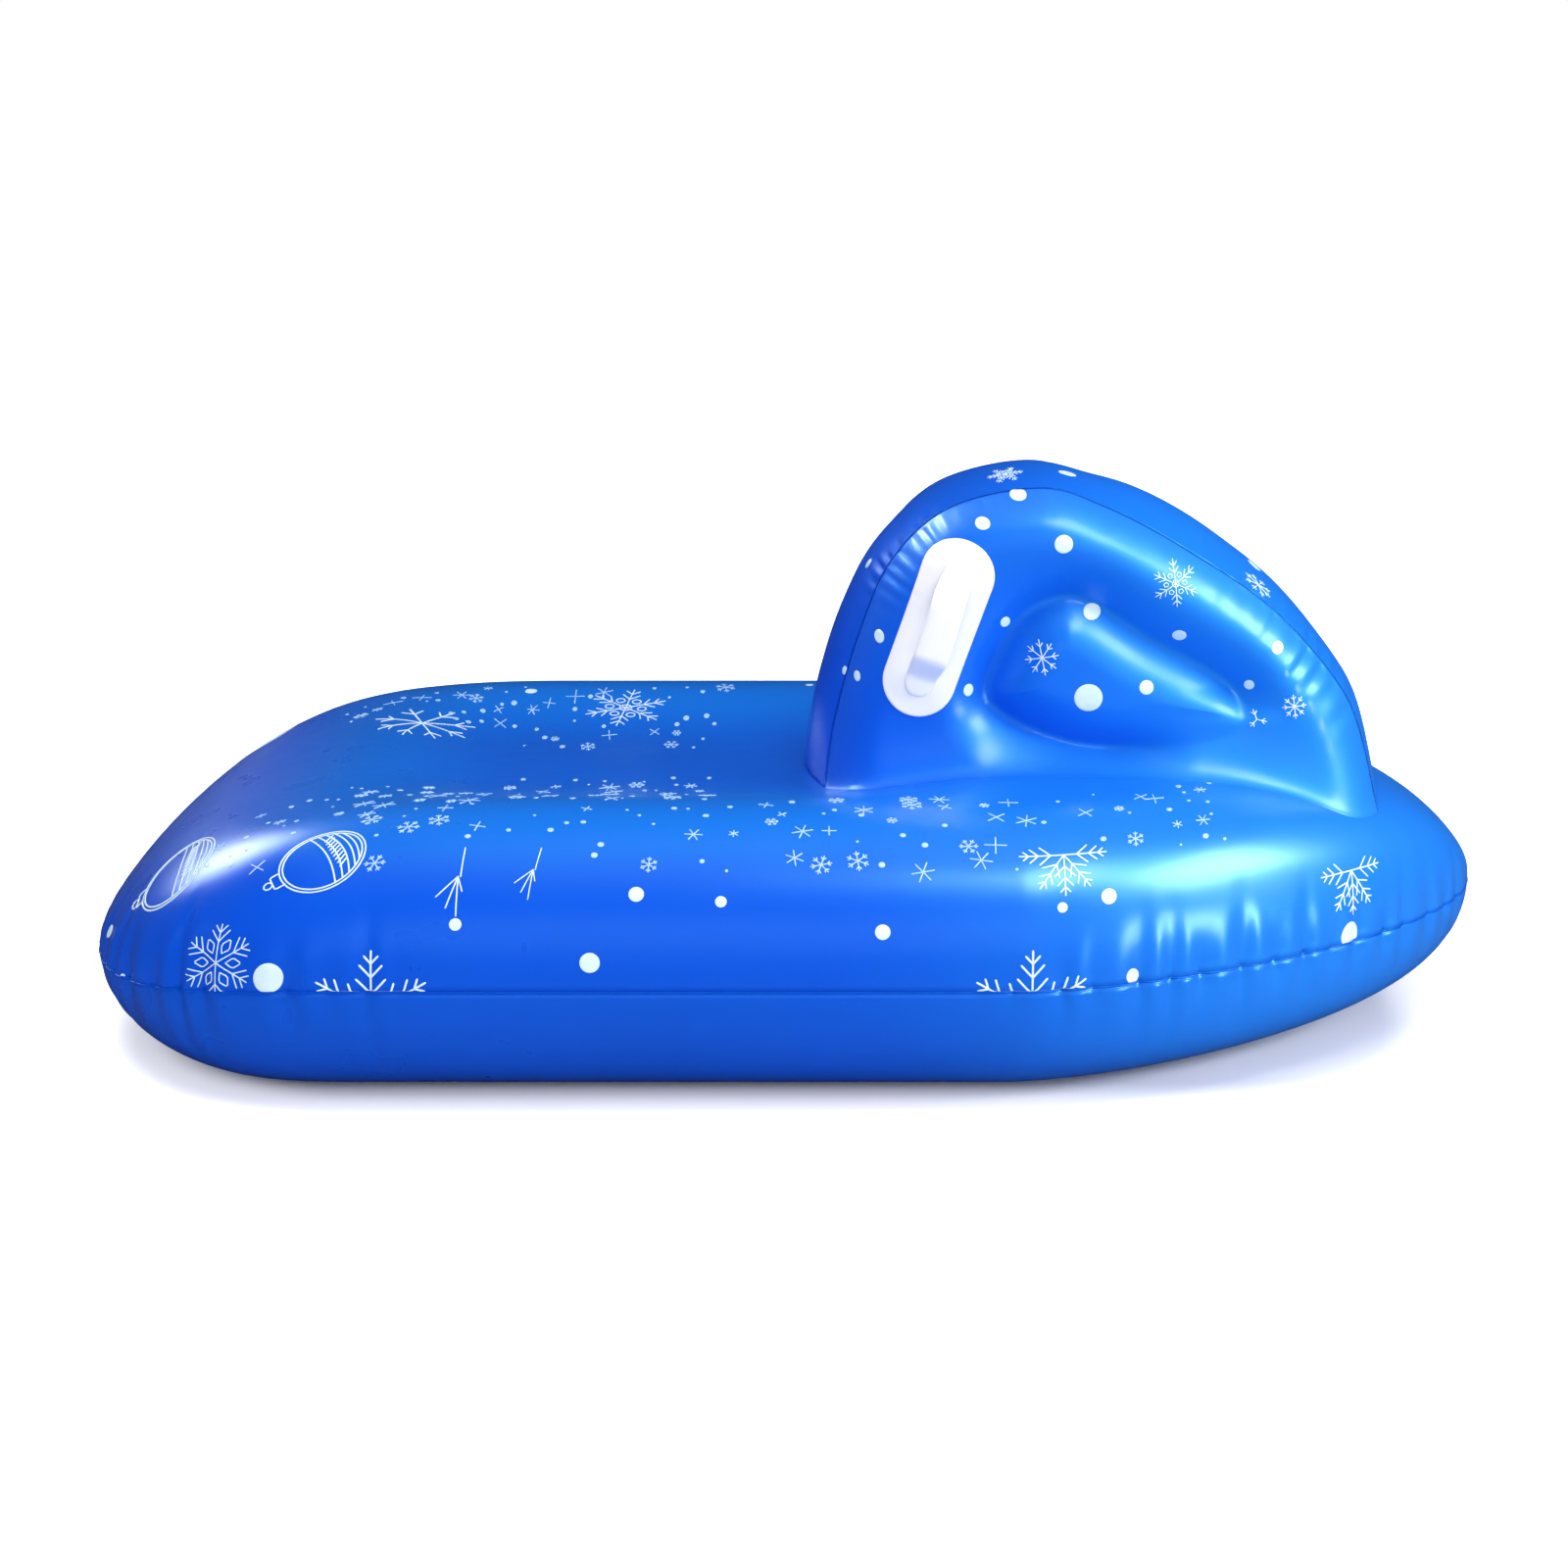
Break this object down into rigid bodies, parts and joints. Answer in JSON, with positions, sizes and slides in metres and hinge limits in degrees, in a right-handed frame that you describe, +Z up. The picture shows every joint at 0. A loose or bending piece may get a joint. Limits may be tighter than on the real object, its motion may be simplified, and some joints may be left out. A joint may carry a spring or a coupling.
{
  "type": "inflatable sled",
  "caption": "Blue inflatable snow sled with a raised padded hood at the bow, white side handles and push-in air valves, printed with snowflakes and dots.",
  "frame": {"origin": "middle of the sled's length and width, on the ground", "axes": "+X towards the bow, +Y to the rider's left, +Z up"},
  "size_m": [1.2, 0.648, 0.4699],
  "materials": {
    "printed_film": "glossy",
    "bottom_film": "glossy",
    "baffle_film": "satin",
    "handle_vinyl": "satin",
    "valve_vinyl": "glossy"
  },
  "bodies": {
    "sled": {"base_top_panel": "printed_film", "base_bottom_panel": "bottom_film", "base_baffle_right": "baffle_film", "base_baffle_centre": "baffle_film", "base_baffle_left": "baffle_film", "hood_panel_right": "printed_film", "hood_panel_left": "printed_film", "hood_band": "printed_film", "hood_tie_baffle": "baffle_film", "handle_patch_right": "handle_vinyl", "handle_patch_left": "handle_vinyl", "handle_grip_right": "handle_vinyl", "handle_grip_left": "handle_vinyl", "base_valve_ring": "valve_vinyl", "hood_valve_ring": "valve_vinyl"},
    "base_valve_stem": {"base_valve_stem": "valve_vinyl"},
    "base_valve_plug": {"base_valve_plug": "valve_vinyl"},
    "base_valve_flap": {"base_valve_flap": "valve_vinyl"},
    "hood_valve_stem": {"hood_valve_stem": "valve_vinyl"},
    "hood_valve_plug": {"hood_valve_plug": "valve_vinyl"},
    "hood_valve_flap": {"hood_valve_flap": "valve_vinyl"}
  },
  "joints": [
    {"name": "base_valve_slide", "type": "slide", "parent": "sled", "child": "base_valve_stem", "axis": [-0.1191, 0.9799, 0.1602], "range_m": [0, 0.0115]},
    {"name": "base_valve_plug_hinge", "type": "hinge", "parent": "base_valve_stem", "child": "base_valve_plug", "pos_m": [-0.4102, 0.31791, 0.14673], "axis": [0.9927, 0.1207, 0], "range_deg": [0, 120]},
    {"name": "base_valve_flap_hinge", "type": "hinge", "parent": "base_valve_stem", "child": "base_valve_flap", "pos_m": [-0.40773, 0.29757, 0.13662], "axis": [-0.9927, -0.1207, 0], "range_deg": [0, 60]},
    {"name": "hood_valve_slide", "type": "slide", "parent": "sled", "child": "hood_valve_stem", "axis": [-0.0276, 0.9981, 0.0548], "range_m": [0, 0.0115]},
    {"name": "hood_valve_plug_hinge", "type": "hinge", "parent": "hood_valve_stem", "child": "hood_valve_plug", "pos_m": [0.42485, 0.1189, 0.29714], "axis": [0.9996, 0.0276, 0], "range_deg": [0, 120]},
    {"name": "hood_valve_flap_hinge", "type": "hinge", "parent": "hood_valve_stem", "child": "hood_valve_flap", "pos_m": [0.42544, 0.09746, 0.28925], "axis": [-0.9996, -0.0276, 0], "range_deg": [0, 60]}
  ]
}
